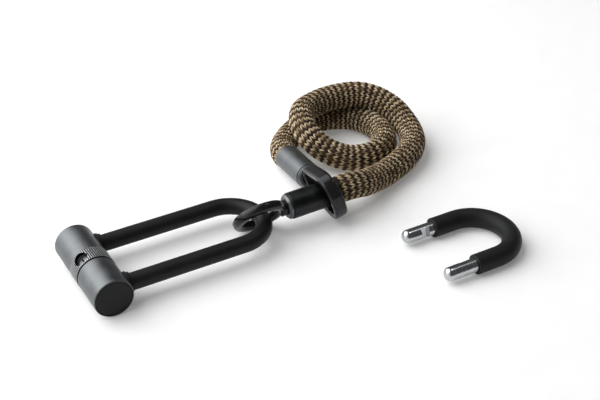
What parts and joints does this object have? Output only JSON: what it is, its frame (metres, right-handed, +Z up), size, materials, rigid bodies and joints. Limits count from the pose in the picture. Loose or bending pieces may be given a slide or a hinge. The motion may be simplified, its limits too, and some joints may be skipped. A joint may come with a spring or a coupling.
{
  "type": "u-lock with textile rope",
  "caption": "Bicycle U-lock with a round key-locked crossbar, a long shackle, a braided rope with linked eyelets and a short spare shackle.",
  "frame": {"origin": "middle of the footprint of the lock, its eyelets and the spare shackle, on the surface they lie on", "axes": "+X from the crossbar along the shackle to its bow, +Y along the crossbar, +Z up"},
  "size_m": [0.4116, 0.3153, 0.0537],
  "materials": {
    "gunmetal": "satin dark anodised",
    "black_plastic": "matte moulded",
    "black_rubber": "soft matte coating",
    "black_steel": "semi-gloss black",
    "chrome": "bright plated",
    "inner_steel": "machined",
    "brass": "machined",
    "rope_textile": "braided, tan and dark brown",
    "rope_fibre": "parallel fibres"
  },
  "bodies": {
    "crossbar": {"body_tube_far": "gunmetal", "body_tube_near": "gunmetal", "end_cap_far": "black_plastic", "end_cap_near": "black_plastic", "leg_collar_far": "black_plastic", "leg_collar_near": "black_plastic", "cover_seal": "black_rubber", "lock_housing": "inner_steel", "cylinder_shell": "inner_steel"},
    "dust_cover": {"dust_cover": "gunmetal"},
    "key_plug": {"key_plug": "inner_steel", "drive_cam": "brass"},
    "locking_bolt_far": {"locking_bolt_far": "inner_steel"},
    "locking_bolt_near": {"locking_bolt_near": "inner_steel"},
    "long_shackle": {"long_shackle_steel": "chrome", "long_shackle_coating": "black_rubber"},
    "eyelet_rope": {"small_eyelet": "black_steel", "eyelet_pin": "inner_steel", "small_ferrule_ring": "gunmetal", "small_ferrule": "gunmetal", "large_eyelet": "black_steel", "large_ferrule_ring": "gunmetal", "large_ferrule": "gunmetal", "rope_sleeve": "rope_textile", "rope_core": "rope_fibre"},
    "spare_shackle": {"short_shackle_steel": "chrome", "short_shackle_coating": "black_rubber"}
  },
  "joints": [
    {"name": "cover_turn", "type": "hinge", "parent": "crossbar", "child": "dust_cover", "pos_m": [-0.1753, 0.03904, 0.01872], "axis": [0, 1, 0], "range_deg": [0, 60]},
    {"name": "key_turn", "type": "hinge", "parent": "crossbar", "child": "key_plug", "pos_m": [-0.1753, 0.03904, 0.01872], "axis": [-0.5592, 0, 0.829], "range_deg": [0, 90]},
    {"name": "far_bolt_slide", "type": "slide", "parent": "crossbar", "child": "locking_bolt_far", "axis": [0, 1, 0], "range_m": [0, 0.0035]},
    {"name": "near_bolt_slide", "type": "slide", "parent": "crossbar", "child": "locking_bolt_near", "axis": [0, -1, 0], "range_m": [0, 0.0035]},
    {"name": "shackle_pull", "type": "slide", "parent": "crossbar", "child": "long_shackle", "axis": [1, 0, 0], "range_m": [0, 0.045]},
    {"name": "rope_lift", "type": "hinge", "parent": "long_shackle", "child": "eyelet_rope", "pos_m": [-0.0093, 0.03904, 0.01872], "axis": [0, -1, 0], "range_deg": [0, 60]},
    {"name": "spare_lift", "type": "slide", "parent": "crossbar", "child": "spare_shackle", "axis": [0, 0, 1], "range_m": [0, 0.05]}
  ],
  "couplings": [
    {"joint": "far_bolt_slide", "follows": "key_turn", "m_per_rad": 0.002228},
    {"joint": "near_bolt_slide", "follows": "key_turn", "m_per_rad": 0.002228}
  ]
}
